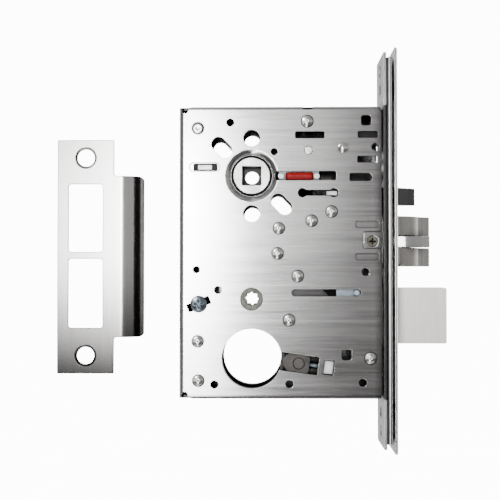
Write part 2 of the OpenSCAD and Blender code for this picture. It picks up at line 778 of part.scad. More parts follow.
// rectangular bolt, thrown at rest
module deadbolt() {
    half = bolt_w / 2;
    z0 = deadbolt_z - deadbolt_h / 2;
    color("silver") difference() {
        box(deadbolt_back, deadbolt_throw, -half, half, z0, z0 + deadbolt_h);
        // slot that holds the tail plate
        box(deadbolt_back - over, -10, tail_y0 - snug, tail_y1 + snug, z0 - over, z0 + deadbolt_h + over);
        // pin holes and the guide stud's hole
        for (z = [-40, -25]) bar_y(-16, z, 1.5 + snug, -half - over, half + over);
        bar_y(shoe_x, shoe_z, 1.5 + snug, -half - over, 0);
        // small chamfers on the leading corners
        for (z = [z0, z0 + deadbolt_h]) translate([deadbolt_throw, 0, z]) rotate([0, 45, 0])
            cube([0.9, bolt_w + 2, 0.9], center = true);
    }
}

// plate that carries the throw from the turn arm to the bolt
module deadbolt_tail() {
    pin_x = hub_x + crank_r / sqrt(2);
    top = turn_z + crank_r + 2.15;
    color("darkgray") difference() {
        plate_y(tail_y0, tail_y1) {
            polygon([[-10.2, -45.5], [-10.2, -19.5], [-30, -10], [-40, -6.5],
                [pin_x + 5.6, top], [pin_x - 5.6, top], [pin_x - 5.6, -15.4],
                // lower edge, which passes above and beside a post when the bolt is drawn in
                [-41, -15.4], [-30, -26], [-25.4, -31], [-24.5, -45.5]]);
        }
        // open fork round the arm's pin
        plate_y(tail_y0 - over, tail_y1 + over)
            round_rect(pin_x - 2.65, pin_x + 2.65, turn_z + crank_r / sqrt(2) - 2.4, top + 3, 1);
        for (z = [-40, -25]) bar_y(-16, z, 1.5 + snug, 0, y_in);
    }
}

// pins that join the tail plate to the bolt
module deadbolt_pins() {
    half = bolt_w / 2;
    color("silver") for (z = [-40, -25]) bar_y(-16, z, 1.5, -half + 0.1, half - 0.1);
}

// zinc shoe on the bolt's side, with the stud that runs in the case slot
module deadbolt_shoe() {
    half = bolt_w / 2;
    color("lightsteelblue") {
        plate_y(-y_in + 0.12, -half - 0.05) round_rect(-30.5, -18.4, -25.5, -18.2, 1);
        bar_y(shoe_x, shoe_z, 1.5, -y_out + 0.4, -0.1);
    }
}

// leaf spring that steadies the deadbolt, held by two folded ends
module detent_spring() {
    z0 = deadbolt_z - deadbolt_h / 2;
    color("silver") {
        box(-48, -30, -6, 6, z0 - 1.6, z0 - 0.9);
        box(-48, -47.3, -6, 6, z0 - 3.9, z0 - 0.9);
        box(-30.7, -30, -6, 6, z0 - 3.9, z0 - 0.9);
        box(-50, -28, -4, y_in - snug, z0 - 4.6, z0 - 3.9);
    }
}

// ---------------------------------------------------------------- turn hub

// hub of the thumb turn, with an eight-point star hole
module turn_hub() {
    star_w = 5.3;
    color("silver") translate([hub_x, 0, turn_z]) difference() {
        union() {
            bar_y(0, 0, turn_journal_r, -y_out + 0.1, y_out - 0.1);
            bar_y(0, 0, 7.5, -y_in + 0.15, 0.8);
            bar_y(0, 0, 7.5, 3.8, y_in - 0.15);
            box(-6.2, 6.2, 0.7, 3.9, -3, 3);
        }
        for (turn = [0, 45]) rotate([0, turn, 0])
            box(-star_w / 2, star_w / 2, -y_out - over, y_out + over, -star_w / 2, star_w / 2);
    }
}

// crank arm on the turn hub, with the pin that drives the deadbolt's tail
module turn_arm() {
    reach = crank_r / sqrt(2);
    color("gainsboro") translate([hub_x, 0, turn_z]) {
        difference() {
            plate_y(0.85, 3.75) {
                circle(r = 8.5);
                strip(0, 0, reach, reach, 6);
            }
            bar_y(0, 0, turn_journal_r + snug, 0, 5);
            box(-6.2 - snug, 6.2 + snug, 0, 5, -3 - snug, 3 + snug);
        }
        bar_y(reach, reach, 2, 3.7, tail_y1 + 0.3);
    }
}

// ---------------------------------------------------------------- cylinder hole and clamp

// rings staked inside the plates that carry the cylinder
module cylinder_collars() {
    color("darkgray") for (side = [-1, 1]) scale([1, -side, 1]) difference() {
        bar_y(hub_x, cylinder_z, cylinder_d / 2 + 1.8, -y_in + snug, -y_in + 3.2);
        bar_y(hub_x, cylinder_z, cylinder_d / 2, -y_out, 0);
        if (side > 0) along_clamp() box(-16, 9.9, -y_out, 0, -4.8, 4.8);
    }
}

// sliding clamp that grips the cylinder's side through the near plate's window
module cylinder_clamp() {
    color("silver") along_clamp() difference() {
        union() {
            plate_y(-y_out + 0.1, -y_in) {
                round_rect(-6.2, 5.3, -clamp_w / 2, clamp_w / 2, 1.2);
                polygon([[-6, -clamp_w / 2 + 0.6], [-8.2, -1.2], [-8.2, 1.6], [-6, clamp_w / 2 - 0.6]]);
            }
            box(-4.4, 5.1, -y_in - 0.2, -y_in + 0.5, -4.2, 4.2);
            box(-4.6, 5.3, -y_in + 0.03, -y_in + 1.4, -5.6, 5.6);
            box(2.4, 5.3, -y_in + 1, -6, -3, 3);
        }
        bar_y(0, 0, 1.7 + snug, -y_out - over, 0);
        bar_y(0, 0, clamp_rivet_r + 0.3, -y_out - over, -y_out + 0.5);
    }
}

// flat rivet set in the clamp's face
module clamp_rivet() {
    color("gainsboro") along_clamp() {
        bar_y(0, 0, 1.7, -y_out + 0.3, -y_in + 1.4);
        bar_y(0, 0, clamp_rivet_r, -y_out + 0.05, -y_out + 0.48);
    }
}

// tapped block that the clamp screw works in
module clamp_block() {
    color("whitesmoke") along_clamp() difference() {
        box(12.9, 17.5, -y_in + 0.1, -5.4, -3.4, 3.4);
        bar_x(12, 19, clamp_screw_y, 0, 1.9 + run);
    }
}

// long set screw that pushes the clamp, driven from the front
module clamp_screw() {
    color("lightsteelblue") along_clamp() difference() {
        bar_x(5.36, 36, clamp_screw_y, 0, 1.9);
        for (turn = [0, 90]) translate([36, clamp_screw_y, 0]) rotate([turn, 0, 0])
            translate([-1.2, -1.9 - over, -0.35]) cube([over * 3, 3.8 + 2 * over, 0.7]);
    }
}

// ---------------------------------------------------------------- locking slide

// slide that blocks the lever hub, with two round-nosed ends in the plate's slot
module locking_slide() {
    back0 = -y_in + 0.05;
    back1 = -9.9;
    color("silver") difference() {
        union() {
            box(-59.4, -39, back0, back1, lock_slide_z - 3.2, lock_slide_z + 3.2);
            for (x = [-58.4, -40.5]) plate_y(-y_out + 0.3, back1)
                strip(x, lock_slide_z, x + 0.4, lock_slide_z, 2.8);
        }
        // seat of the barrel
        box(-55.7, -42.1, back0 - over, back1 + over, lock_slide_z - 1.95, lock_slide_z + 1.95);
    }
}

// red barrel that marks the locking side, with a chamfer at each end
module red_indicator() {
    x0 = -55.5;
    x1 = -42.3;
    r = 1.85;
    bevel = 0.6;
    axis_y = -y_out + 0.9;
    color("red") {
        bar_x(x0 + bevel, x1 - bevel, axis_y, lock_slide_z, r);
        for (end = [0, 1]) translate([end * (x0 + x1), 0, 0]) mirror([end, 0, 0])
            translate([x0, axis_y, lock_slide_z]) rotate([0, 90, 0])
                cylinder(r1 = r - bevel, r2 = r, h = bevel);
        box(x0 + 1, x1 - 1, axis_y, -10, lock_slide_z - 1.4, lock_slide_z + 1.4);
    }
}

// pan-head screw that sets the hand of the locking parts
module handing_screw() {
    color("lightsteelblue") translate([-99.6, 0, -27]) difference() {
        union() {
            dome(0, 0, 4.3, 1.6, -y_out, -1);
            bar_y(0, 0, 1.8, -y_out - 0.2, -6);
            bar_y(0, 0, 4, -y_in + 0.1, -y_in + 2.2);
        }
        translate([0, -y_out - 1.6, 0]) cross_recess(4.6, 1.4);
    }
}

// ---------------------------------------------------------------- strike

// flat strike plate with two bolt openings and a curved lip
module strike_plate() {
    x0 = -176.6;
    x1 = x0 + strike_w;
    z0 = -64.6;
    y0 = 12.7;
    bend_r = 15;
    flat_end = x1 + strike_lip - 12.2;
    screw_x = x0 + strike_w / 2;
    lip_z0 = z0 + 19.2;
    lip_z1 = z0 + 104.7;
    sweep = 54;
    color("lightgray") difference() {
        intersection() {
            // section: flat, then an arc that leaves the face
            translate([0, 0, z0]) linear_extrude(strike_h) {
                translate([x0, y0]) square([flat_end - x0, strike_t]);
                translate([flat_end, y0 + bend_r]) intersection() {
                    difference() {
                        circle(r = bend_r, $fn = 128);
                        circle(r = bend_r - strike_t, $fn = 128);
                    }
                    polygon([[0, 0], [0, -2 * bend_r], [2 * bend_r * tan(sweep), -2 * bend_r]]);
                }
            }
            // outline seen square on
            plate_y(0, 60) {
                round_rect(x0, x1, z0, z0 + strike_h, 0.6);
                difference() {
                    union() {
                        round_rect(x1 - 10, x1 + strike_lip, lip_z0, lip_z1, 3);
                        translate([x1 - 5, lip_z0 - 1.5]) square([6.5, lip_z1 - lip_z0 + 3]);
                    }
                    for (z = [lip_z0 - 1.5, lip_z1 + 1.5]) translate([x1 + 1.5, z]) circle(r = 1.5);
                }
            }
        }
        // latch and deadbolt openings
        plate_y(0, 60) {
            round_rect(-170.7, -152.5, -0.2, 35.7, 1.5);
            round_rect(-170.7, -152.5, -40.4, -3.9, 1.5);
        }
        for (z = [z0 + 9.5, z0 + 9.5 + strike_pitch]) {
            bar_y(screw_x, z, 4.5, 0, 60);
            translate([screw_x, y0 - 0.01, z]) rotate([-90, 0, 0]) cylinder(r1 = 5.6, r2 = 4.5, h = 1.1);
        }
    }
}

case_pan();
case_cover();
inner_front();
front_channel();
armour_front();
armour_screws();
front_brackets();
bracket_screws();
side_lugs();
lug_blocks();
lug_screws();
case_posts();
guide_rivets();
latch_guide();
hub_bushings();
hub_spacer();
hub_stop();
near_hub_spring();
far_hub_spring();
near_hub();
far_hub();
retractor_lever();
retractor_pivot();
latchbolt();
latch_tail();
latch_spring();
latch_tongue();
tongue_pin();
guard_latch();
guard_tail();
guard_spring();
guard_bracket();
deadlock_lever();
deadlock_pivot();
deadbolt();
deadbolt_tail();
deadbolt_pins();
deadbolt_shoe();
detent_spring();
turn_hub();
turn_arm();
cylinder_collars();
cylinder_clamp();
clamp_rivet();
clamp_block();
clamp_screw();
locking_slide();
red_indicator();
handing_screw();
strike_plate();
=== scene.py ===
"""Looks of the mortise lock: materials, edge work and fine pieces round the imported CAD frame."""

import json
import math

import bmesh
import bpy
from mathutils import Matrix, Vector

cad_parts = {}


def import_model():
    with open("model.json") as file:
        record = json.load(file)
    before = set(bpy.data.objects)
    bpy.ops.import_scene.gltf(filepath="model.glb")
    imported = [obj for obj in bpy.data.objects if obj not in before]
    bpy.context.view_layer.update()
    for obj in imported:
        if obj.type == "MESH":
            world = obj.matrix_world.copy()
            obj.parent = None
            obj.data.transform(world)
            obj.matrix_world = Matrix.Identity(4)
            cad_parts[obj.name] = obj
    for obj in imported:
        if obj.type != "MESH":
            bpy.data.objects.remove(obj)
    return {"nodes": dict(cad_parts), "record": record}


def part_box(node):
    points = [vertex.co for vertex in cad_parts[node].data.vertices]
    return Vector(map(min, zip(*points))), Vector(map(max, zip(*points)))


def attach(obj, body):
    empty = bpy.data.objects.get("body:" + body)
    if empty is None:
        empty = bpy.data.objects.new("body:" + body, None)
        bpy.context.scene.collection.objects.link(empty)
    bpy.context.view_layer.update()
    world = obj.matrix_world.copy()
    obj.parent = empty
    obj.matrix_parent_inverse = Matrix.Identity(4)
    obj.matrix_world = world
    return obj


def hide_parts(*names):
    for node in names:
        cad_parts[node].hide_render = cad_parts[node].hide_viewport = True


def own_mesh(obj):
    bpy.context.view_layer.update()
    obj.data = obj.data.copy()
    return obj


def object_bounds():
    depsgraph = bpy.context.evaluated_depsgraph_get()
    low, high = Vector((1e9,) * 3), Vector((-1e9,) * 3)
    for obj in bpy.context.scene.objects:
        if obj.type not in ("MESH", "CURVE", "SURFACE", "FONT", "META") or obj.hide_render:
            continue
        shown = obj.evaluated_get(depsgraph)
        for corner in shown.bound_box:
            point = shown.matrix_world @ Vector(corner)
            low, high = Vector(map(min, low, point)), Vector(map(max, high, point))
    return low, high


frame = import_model()
CAD_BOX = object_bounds()
NODES = frame["nodes"]
RECORD = frame["record"]
BODIES = RECORD["behaviour"]["bodies"]
BODY_OF = {node: body for body, nodes in BODIES.items() for node in nodes}
SLOT_OF = {part["node"]: part["material_slot"] for part in RECORD["subparts"]}
MOUNTS = {mount["name"]: mount for mount in RECORD["mounts"]}
MM = 0.001
CASE_LOW, CASE_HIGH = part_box("case_pan")
# rolled radii of the front's long edges
CHANNEL_ROLL = 2.2 * MM
ARMOUR_ROLL = 1.1 * MM


# ---------------------------------------------------------------- shader helpers


class Tree:
    """A node tree, built step by step."""

    def __init__(self, tree):
        self.tree = tree
        self.tree.nodes.clear()

    def add(self, kind, **inputs):
        made = self.tree.nodes.new(kind)
        for key, value in inputs.items():
            made.inputs[key].default_value = value
        return made

    def link(self, a, out, b, into):
        self.tree.links.new(a.outputs[out], b.inputs[into])

    def span(self, source, out, low, high, from_low=0.3, from_high=0.7, smooth=False):
        """Maps a value from one span to another, clamped."""
        ramp = self.add("ShaderNodeMapRange")
        ramp.interpolation_type = "SMOOTHSTEP" if smooth else "LINEAR"
        limits = {"From Min": from_low, "From Max": from_high, "To Min": low, "To Max": high}
        for key, value in limits.items():
            ramp.inputs[key].default_value = value
        self.link(source, out, ramp, "Value")
        return ramp

    def math(self, how, a, b):
        """Math node; a and b are numbers, nodes or (node, output) pairs."""
        made = self.add("ShaderNodeMath")
        made.operation = how
        for slot, value in ((0, a), (1, b)):
            if isinstance(value, (int, float)):
                made.inputs[slot].default_value = value
            elif isinstance(value, tuple):
                self.tree.links.new(value[0].outputs[value[1]], made.inputs[slot])
            else:
                self.tree.links.new(value.outputs[0], made.inputs[slot])
        return made

    def curve(self, source, out, points):
        """A smooth curve through points (x in -1..1, y in -4..4)."""
        shifted = self.span(source, out, 0.0, 1.0, -1.0, 1.0)
        made = self.add("ShaderNodeFloatCurve")
        line = made.mapping.curves[0]
        line.points[0].location = (0.5 + points[0][0] / 2, 0.5 + points[0][1] / 8)
        line.points[1].location = (0.5 + points[-1][0] / 2, 0.5 + points[-1][1] / 8)
        for x, y in points[1:-1]:
            line.points.new(0.5 + x / 2, 0.5 + y / 8)
        made.mapping.update()
        self.link(shifted, 0, made, "Value")
        return self.math("MULTIPLY", self.math("SUBTRACT", made, 0.5), 8.0)

    def mix(self, factor, a, b):
        """Colour mix; a and b are colours or nodes."""
        made = self.add("ShaderNodeMix")
        made.data_type = "RGBA"
        self.tree.links.new(factor.outputs[0], made.inputs[0])
        for slot, value in ((6, a), (7, b)):
            if isinstance(value, tuple):
                made.inputs[slot].default_value = (*value, 1.0)
            else:
                self.tree.links.new(value.outputs[2], made.inputs[slot])
        return made


class Shader(Tree):
    """One node material with a principled surface."""

    def __init__(self, name):
        self.material = bpy.data.materials.new(name)
        self.material.use_nodes = True
        super().__init__(self.material.node_tree)
        self.output = self.add("ShaderNodeOutputMaterial")
        self.surface = self.add("ShaderNodeBsdfPrincipled")
        self.link(self.surface, "BSDF", self.output, "Surface")
        self.place = self.add("ShaderNodeTexCoord")

    def noise(self, scale, detail=3.0, rough=0.55):
        """Noise in row coordinates; scale is waves per metre along X, Y and Z."""
        mapping = self.add("ShaderNodeMapping")
        mapping.inputs["Scale"].default_value = scale
        self.link(self.place, "Object", mapping, "Vector")
        texture = self.add("ShaderNodeTexNoise", Scale=1.0, Detail=detail, Roughness=rough)
        self.link(mapping, "Vector", texture, "Vector")
        return texture

    def edge(self, radius, start=0.999, full=0.9):
        """Edge mask (1 on edges) and the rounded normal, from a bevel of this radius."""
        bevel = self.add("ShaderNodeBevel", Radius=radius)
        bevel.samples = 4
        geometry = self.add("ShaderNodeNewGeometry")
        dot = self.add("ShaderNodeVectorMath")
        dot.operation = "DOT_PRODUCT"
        self.link(bevel, "Normal", dot, 0)
        self.link(geometry, "Normal", dot, 1)
        return self.span(dot, "Value", 0.0, 1.0, start, full), bevel

    def crevice(self, reach, power):
        """1 in the open, falling to 0 in holes, gaps and corners narrower than the reach."""
        shut = self.add("ShaderNodeAmbientOcclusion", Distance=reach)
        shut.samples = 8
        return self.math("POWER", (shut, "AO"), power)

    def inside(self, depth):
        """Painted shade mask: 1 within the case and closer than this to its middle plane, so that openings
        look deep; having no limit up and down, it also covers the outer faces of the case's top, bottom and
        rear walls.
        """
        split = self.add("ShaderNodeSeparateXYZ")
        self.link(self.place, "Object", split, 0)
        off_middle = self.math("ABSOLUTE", (split, "Y"), 0.0)
        deep = self.span(off_middle, 0, 1.0, 0.0, depth - 0.3 * MM, depth + 0.3 * MM)
        front = self.span(split, "X", 1.0, 0.0, CASE_HIGH.x - 1.5 * MM, CASE_HIGH.x)
        rear = self.span(split, "X", 0.0, 1.0, CASE_LOW.x - 1.0 * MM, CASE_LOW.x)
        return self.math("MULTIPLY", self.math("MULTIPLY", deep, front), rear)

    def band(self, axis, start, end, soft=0.3 * MM):
        """1 between two positions along an axis."""
        split = self.add("ShaderNodeSeparateXYZ")
        self.link(self.place, "Object", split, 0)
        return self.math("MULTIPLY", self.span(split, axis, 0.0, 1.0, start - soft, start + soft),
                         self.span(split, axis, 1.0, 0.0, end - soft, end + soft))

    def darken(self, tone, colour, inside, reach, power):
        """Paints shade into the colour in crevices and everywhere deep inside the case, so that openings read
        dark.
        """
        tone = self.mix(self.inside(inside), tone, tint(colour, DEEP_SHADE))
        return self.mix(self.crevice(reach, power), tint(colour, DEEP_SHADE), tone)

    def lean(self, normal, mask, push):
        """Tilts the surface's normal by a small push where the mask is 1."""
        scaled = self.add("ShaderNodeVectorMath")
        scaled.operation = "SCALE"
        scaled.inputs[0].default_value = push
        self.link(mask, 0, scaled, "Scale")
        total = self.add("ShaderNodeVectorMath")
        total.operation = "ADD"
        self.link(normal, "Normal", total, 0)
        self.link(scaled, 0, total, 1)
        unit = self.add("ShaderNodeVectorMath")
        unit.operation = "NORMALIZE"
        self.link(total, 0, unit, 0)
        return unit


def tint(colour, factor):
    return tuple(min(1.0, c * factor) for c in colour)


# painted shade: share of a colour's brightness left in deep openings and crevices, and in the painted dark
# line round spun heads
DEEP_SHADE = 0.03
RIM_SHADE = 0.06


def brushed(name, colour, rough, grain, contrast=0.1, bump=0.1, edge=0.25, spots=0.3, stretch=None,
            waves=0.0, inside=10.4, reach=5.0, power=1.6, patch=None, vary=0.05, rim=1.3, stack=False,
            outline=None, fade=None):
    """Brushed metal; lengths are in millimetres, except waves.

    grain: the fine noise's waves per metre. stretch: (how much, which way) highlights are drawn out.
    waves: depth in metres of the sheet's slow unevenness. vary: how much the roughness changes.
    inside, reach, power: from where and how strongly painted shade darkens openings and crevices.
    rim: brightness painted on edges, above 1 a painted highlight, below 1 a painted dark outline; outline:
    limits of a finer edge mask that is drawn at full strength.
    patch: an extra region of painted light, darker or lighter by its brightness, as (axis, start, end,
    brightness, lean of the normal or None).
    fade: painted shade along an axis, as (axis, dark end, light end, brightness at the dark end).
    stack: painted shade on the hidden faces between the layers of the front.
    """
    s = Shader(name)
    fine = s.noise(grain, 4.0, 0.6)
    broad = s.noise(tuple(g * 0.2 for g in grain), 2.0, 0.5)
    cloud = s.noise((38.0, 38.0, 38.0), 4.0, 0.6)
    streak = s.math("ADD", s.math("MULTIPLY", fine, 0.6), s.math("MULTIPLY", broad, 0.4))
    dark, light = tint(colour, 1 - contrast), tint(colour, 1 + contrast)
    tone = s.mix(s.span(streak, 0, 0.0, 1.0, 0.38, 0.62), dark, light)
    tone = s.mix(s.span(cloud, 0, 0.0, spots, 0.45, 0.75), tone, tint(colour, 0.8))
    # painted shade, growing towards the dark end
    if fade:
        split = s.add("ShaderNodeSeparateXYZ")
        s.link(s.place, "Object", split, 0)
        share = s.span(split, fade[0], 1.0, 0.0, fade[1] * MM, fade[2] * MM, True)
        tone = s.mix(share, tone, tint(colour, fade[3]))
    mask, bevel = s.edge(edge * MM, *(outline or (0.999, 0.9)))
    # edges painted lighter as a highlight, or darker as an outline where rim is below 1
    tone = s.mix(s.math("MULTIPLY", mask, 1.0 if outline else 0.6), tone, tint(colour, rim))
    tone = s.darken(tone, colour, inside * MM, reach * MM, power)
    # painted shade between the front's layers
    if stack:
        low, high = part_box("front_channel")
        armour_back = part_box("armour_front")[0].x
        across = s.band("Y", low.y + CHANNEL_ROLL + 0.1 * MM, high.y - CHANNEL_ROLL - 0.1 * MM)
        between = s.math("MULTIPLY", across, s.band("Z", low.z, high.z))
        between = s.math("MULTIPLY", between, s.band("X", -1.0, armour_back + 0.1 * MM, 0.05 * MM))
        tone = s.mix(between, tone, tint(colour, 0.04))
    # a region painted darker as shade, or lighter as a highlight, by the patch's brightness
    if patch:
        region = s.band(patch[0], patch[1] * MM, patch[2] * MM)
        tone = s.mix(region, tone, tint(colour, patch[3]))
    s.link(tone, 2, s.surface, "Base Color")
    s.surface.inputs["Metallic"].default_value = 1.0
    by_streak = s.span(streak, 0, rough - vary, rough + vary, 0.35, 0.65)
    by_cloud = s.span(cloud, 0, -0.3 * vary, 0.5 * vary)
    s.link(s.math("ADD", by_streak, by_cloud), 0, s.surface, "Roughness")
    if stretch:
        s.surface.inputs["Anisotropic"].default_value = stretch[0]
        way = s.add("ShaderNodeCombineXYZ", X=stretch[1][0], Y=stretch[1][1], Z=stretch[1][2])
        s.link(way, 0, s.surface, "Tangent")
    relief = s.add("ShaderNodeBump", Strength=bump, Distance=0.00006)
    s.link(streak, 0, relief, "Height")
    s.link(bevel, "Normal", relief, "Normal")
    if waves:
        # the sheet's slight unevenness, which breaks up the reflection in soft streaks
        swell = s.noise((22.0, 90.0, 90.0), 3.0, 0.55)
        roll = s.add("ShaderNodeBump", Strength=1.0, Distance=waves)
        s.link(swell, 0, roll, "Height")
        s.link(relief, "Normal", roll, "Normal")
        relief = roll
    if patch and patch[4]:
        s.link(s.lean(relief, region, patch[4]), 0, s.surface, "Normal")
    else:
        s.link(relief, "Normal", s.surface, "Normal")
    return s.material


def plated(name, colour, rough, grain=900.0, edge=0.2, mottle=0.5, inside=10.4, reach=3.5, power=2.0):
    """Zinc plate, sintered or cast metal: fine irregular mottling with no direction."""
    s = Shader(name)
    fine = s.noise((grain, grain, grain), 5.0, 0.65)
    cloud = s.noise((140.0, 140.0, 140.0), 3.0, 0.6)
    tone = s.mix(s.span(fine, 0, 0.0, 1.0, 0.35, 0.65), tint(colour, 0.85), tint(colour, 1.12))
    tone = s.mix(s.span(cloud, 0, 0.0, mottle, 0.4, 0.7), tone, tint(colour, 0.78))
    mask, bevel = s.edge(edge * MM)
    # edges painted lighter, a painted highlight
    tone = s.mix(s.math("MULTIPLY", mask, 0.7), tone, tint(colour, 1.35))
    tone = s.darken(tone, colour, inside * MM, reach * MM, power)
    # painted shade: a dark line round spun heads, where lathe() marks the mesh
    rim = s.add("ShaderNodeAttribute")
    rim.attribute_name = "rim"
    tone = s.mix(s.span(rim, "Fac", 0.0, 1.0, 0.1, 0.9), tone, tint(colour, RIM_SHADE))
    s.link(tone, 2, s.surface, "Base Color")
    s.surface.inputs["Metallic"].default_value = 1.0
    s.link(s.span(cloud, 0, rough - 0.05, rough + 0.07), 0, s.surface, "Roughness")
    relief = s.add("ShaderNodeBump", Strength=0.18, Distance=0.00005)
    s.link(fine, 0, relief, "Height")
    s.link(bevel, "Normal", relief, "Normal")
    s.link(relief, "Normal", s.surface, "Normal")
    return s.material


def glossy_plastic(name, colour):
    """Moulded plastic with a clear sheen and faint flow marks."""
    s = Shader(name)
    flow = s.noise((120.0, 500.0, 500.0), 3.0, 0.5)
    tone = s.mix(s.span(flow, 0, 0.0, 1.0), tint(colour, 0.85), tint(colour, 1.15))
    mask, bevel = s.edge(0.3 * MM)
    # edges painted lighter, a painted highlight
    tone = s.mix(s.math("MULTIPLY", mask, 0.25), tone, tint(colour, 1.5))
    s.link(tone, 2, s.surface, "Base Color")
    s.link(s.span(flow, 0, 0.24, 0.32), 0, s.surface, "Roughness")
    s.surface.inputs["Specular IOR Level"].default_value = 0.3
    s.surface.inputs["Coat Weight"].default_value = 0.25
    s.surface.inputs["Coat Roughness"].default_value = 0.08
    relief = s.add("ShaderNodeBump", Strength=0.06, Distance=0.00005)
    s.link(flow, 0, relief, "Height")
    s.link(bevel, "Normal", relief, "Normal")
    s.link(relief, "Normal", s.surface, "Normal")
    return s.material


# waves per metre of brushed grain that runs along X, Y or Z
ALONG_X = (45.0, 2600.0, 2600.0)
ALONG_Z = (2600.0, 2600.0, 45.0)
# highlights are drawn out across the grain; the small parts keep the direction off every face's normal
UPRIGHT = (0.013, 0.021, 1.0)
LEVEL = (1.0, 0.023, 0.017)

LOOKS = {
    # case_steel: openings painted dark by inside; fade paints shade on the lowest 2.6 mm, the bottom bend
    "case_steel": brushed("case_steel", (0.64, 0.63, 0.63), 0.15, ALONG_X, 0.12, 0.07, edge=0.3,
                          stretch=(0.6, UPRIGHT), waves=0.000013, inside=11.3, vary=0.02, power=2.4,
                          fade=("Z", CASE_LOW.z / MM, CASE_LOW.z / MM + 2.6, 0.08)),
    "front_steel": brushed("front_steel", (0.66, 0.66, 0.66), 0.20, ALONG_Z, 0.06, 0.04, vary=0.03, reach=1.5,
                           power=1.0, stack=True),
    # inner_front: patch paints shade on it over the case's height
    "inner_front": brushed("inner_front", (0.60, 0.60, 0.61), 0.26, ALONG_Z, 0.08, 0.05, vary=0.03, reach=3.5,
                           power=2.2, patch=("Z", CASE_LOW.z / MM, CASE_HIGH.z / MM, 0.12, None)),
    "bolt_steel": brushed("bolt_steel", (0.90, 0.88, 0.84), 0.42, ALONG_Z, 0.05, 0.06, edge=0.3,
                          stretch=(0.8, LEVEL)),
    "horn_steel": brushed("horn_steel", (0.50, 0.48, 0.46), 0.24, ALONG_Z, 0.10, 0.10, edge=0.3),
    # tongue_steel: patch paints a highlight band near the root, and leans the normal there
    "tongue_steel": brushed("tongue_steel", (0.62, 0.61, 0.60), 0.24, ALONG_Z, 0.06, 0.06,
                            patch=("X", -2.0, 4.7, 1.3, (-0.10, 0.0, 0.0))),
    # oiled_steel: near black; no oil is modelled, the colour only makes the bushings' ring round each hub
    # read dark
    "oiled_steel": plated("oiled_steel", (0.02, 0.02, 0.02), 0.45),
    "guard_steel": brushed("guard_steel", (0.12, 0.12, 0.12), 0.30, ALONG_Z, 0.12, 0.10),
    # strike_steel: rim 0.07 paints dark outlines of shade on its edges; fade paints shade towards its lower
    # end
    "strike_steel": brushed("strike_steel", (0.66, 0.65, 0.64), 0.16, ALONG_Z, 0.05, 0.02, edge=0.6,
                            vary=0.02, rim=0.07, outline=(0.9995, 0.97), fade=("Z", -70.0, 5.0, 0.04)),
    "inner_steel": plated("inner_steel", (0.20, 0.20, 0.21), 0.36, inside=11.2),
    "shoe_zinc": plated("shoe_zinc", (0.34, 0.40, 0.46), 0.30, grain=500.0, power=1.5),
    "bright_zinc": plated("bright_zinc", (0.80, 0.81, 0.83), 0.36, power=1.5),
    "stop_zinc": plated("stop_zinc", (0.80, 0.81, 0.83), 0.36, power=1.0, inside=11.9),
    "turn_steel": plated("turn_steel", (0.10, 0.10, 0.09), 0.34, power=3.0),
    "dark_steel": plated("dark_steel", (0.10, 0.10, 0.105), 0.42),
    "hub_steel": plated("hub_steel", (0.78, 0.78, 0.78), 0.30, power=1.2),
    "rivet_steel": plated("rivet_steel", (0.88, 0.87, 0.86), 0.17, grain=500.0, reach=1.4, power=3.0),
    "screw_zinc": plated("screw_zinc", (0.28, 0.33, 0.39), 0.24, grain=700.0, reach=2.5, power=3.0),
    "dark_screw": plated("dark_screw", (0.13, 0.125, 0.105), 0.22, grain=700.0, reach=2.5, power=4.5),
    "spring_steel": brushed("spring_steel", (0.42, 0.42, 0.44), 0.30, (400.0, 400.0, 400.0), 0.12, 0.05),
    "clamp_steel": plated("clamp_steel", (0.11, 0.105, 0.10), 0.50, power=2.4),
    "washer_brass": plated("washer_brass", (0.70, 0.50, 0.22), 0.35),
    "red_plastic": glossy_plastic("red_plastic", (0.40, 0.004, 0.005)),
}
# nodes that look lighter or darker in the photo than the rest of their material slot
LOOK_OF = {
    "inner_front": "inner_front", "latchbolt": "horn_steel", "lug_screws": "dark_screw",
    "clamp_block": "bright_zinc", "guard_tail": "bright_zinc", "locking_slide": "bright_zinc",
    "deadbolt_shoe": "shoe_zinc", "hub_stop": "stop_zinc", "lug_blocks": "bright_zinc",
    "turn_hub": "turn_steel", "clamp_rivet": "clamp_steel", "hub_bushings": "oiled_steel",
}


def dress(obj, node):
    """Gives an object the look of a CAD node."""
    obj.data.materials.clear()
    obj.data.materials.append(LOOKS[LOOK_OF.get(node, SLOT_OF[node])])


# ---------------------------------------------------------------- pieces


def settle(obj, *nodes):
    """Finishes a piece: it stands for CAD nodes, rides on their body and wears their slot."""
    dress(obj, nodes[0])
    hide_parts(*nodes)
    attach(obj, BODY_OF[nodes[0]])
    return obj


def shade(mesh, angle=35.0):
    """Smooth shading that keeps edges sharper than the angle."""
    mesh.shade_smooth()
    mesh.set_sharp_from_angle(angle=math.radians(angle))


def new_object(name, mesh):
    obj = bpy.data.objects.new(name, mesh)
    bpy.context.scene.collection.objects.link(obj)
    return obj


def welded(node):
    """The CAD node's surface as one bmesh with its flat faces joined."""
    bm = bmesh.new()
    bm.from_mesh(NODES[node].data)
    bmesh.ops.remove_doubles(bm, verts=bm.verts, dist=0.012 * MM)
    bmesh.ops.dissolve_limit(bm, angle_limit=math.radians(0.6), verts=bm.verts, edges=bm.edges)
    return bm


def roll_edges(bm, chosen, width, segments):
    """Rounds chosen long edges with a wide radius."""
    edges = [edge for edge in bm.edges if chosen(edge.verts[0].co, edge.verts[1].co)]
    bmesh.ops.bevel(bm, geom=edges, offset=width, offset_type="OFFSET", segments=segments, profile=0.5,
                    affect="EDGES", clamp_overlap=True)


def long_corner(v, low, high):
    """Whether a point lies on one of a box's two long outer corners."""
    near = 0.05 * MM
    return v.x > high.x - near and (v.y < low.y + near or v.y > high.y - near)


